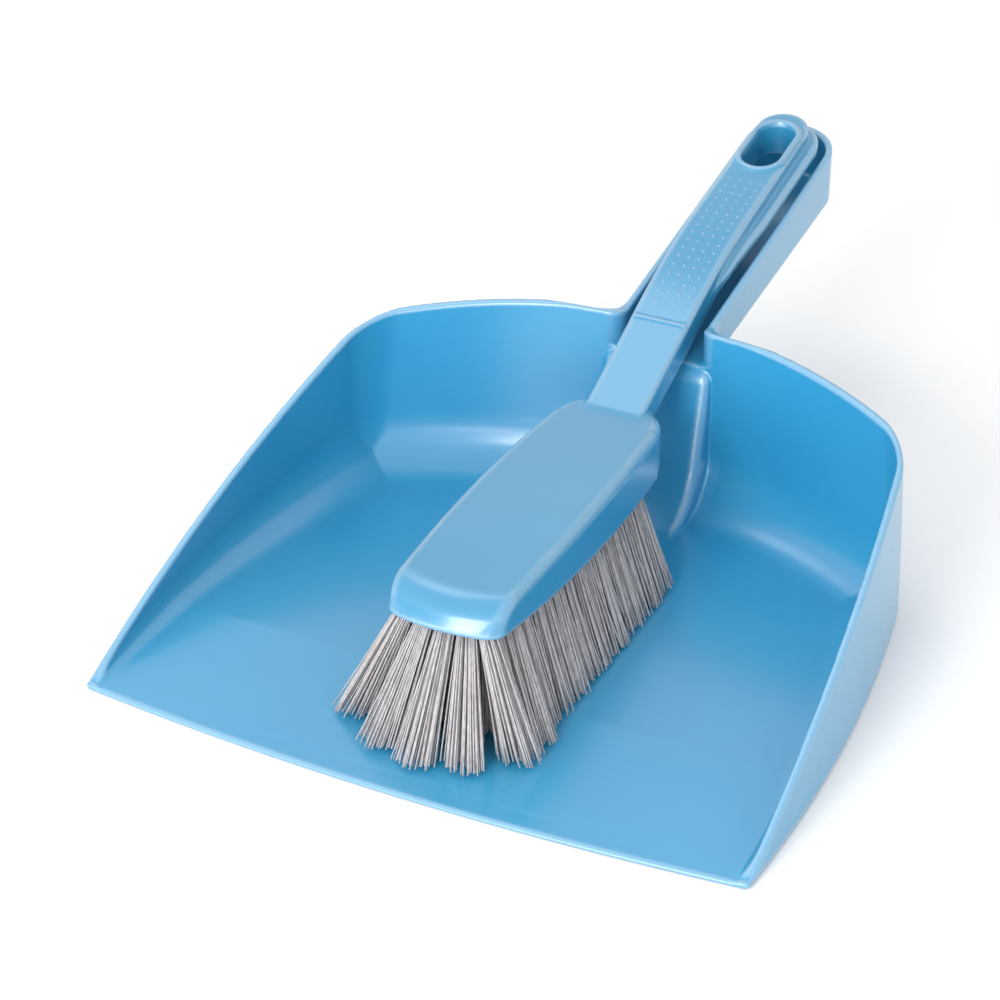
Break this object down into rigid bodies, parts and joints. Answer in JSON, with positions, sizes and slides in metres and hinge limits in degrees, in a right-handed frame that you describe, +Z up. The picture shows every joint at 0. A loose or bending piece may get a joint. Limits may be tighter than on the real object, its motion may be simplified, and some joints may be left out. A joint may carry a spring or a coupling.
{
  "type": "dust pan and brush set",
  "caption": "Moulded plastic dust pan with a long trough handle, and a hand brush with tufted filaments that lies in the pan with its grip in the trough and lifts out for use.",
  "frame": {"origin": "middle of the footprint, on the table under the pan", "axes": "+X across the mouth, +Y from the lip to the end of the handle, +Z up"},
  "size_m": [0.2328, 0.332, 0.0986],
  "materials": {
    "pan_plastic": "light blue moulded polypropylene, satin to glossy",
    "brush_plastic": "light blue moulded polypropylene, glossy, with a dotted grip",
    "filament": "grey-beige synthetic filament, cut ends",
    "staple_wire": "flat galvanised anchor wire"
  },
  "bodies": {
    "pan": {"dust_pan": "pan_plastic"},
    "brush": {"brush_body": "brush_plastic", "tuft_row_01": "filament", "tuft_row_02": "filament", "tuft_row_03": "filament", "tuft_row_04": "filament", "tuft_row_05": "filament", "tuft_row_06": "filament", "tuft_row_07": "filament", "tuft_row_08": "filament", "tuft_row_09": "filament", "tuft_row_10": "filament", "tuft_row_11": "filament", "tuft_row_12": "filament", "tuft_row_13": "filament", "tuft_row_14": "filament", "tuft_row_15": "filament", "tuft_row_16": "filament", "staple_row_01": "staple_wire", "staple_row_02": "staple_wire", "staple_row_03": "staple_wire", "staple_row_04": "staple_wire", "staple_row_05": "staple_wire", "staple_row_06": "staple_wire", "staple_row_07": "staple_wire", "staple_row_08": "staple_wire", "staple_row_09": "staple_wire", "staple_row_10": "staple_wire", "staple_row_11": "staple_wire", "staple_row_12": "staple_wire", "staple_row_13": "staple_wire", "staple_row_14": "staple_wire", "staple_row_15": "staple_wire", "staple_row_16": "staple_wire"}
  },
  "joints": [
    {"name": "brush_lift", "type": "slide", "parent": "pan", "child": "brush", "axis": [0, 0, 1], "range_m": [0, 0.1]}
  ]
}
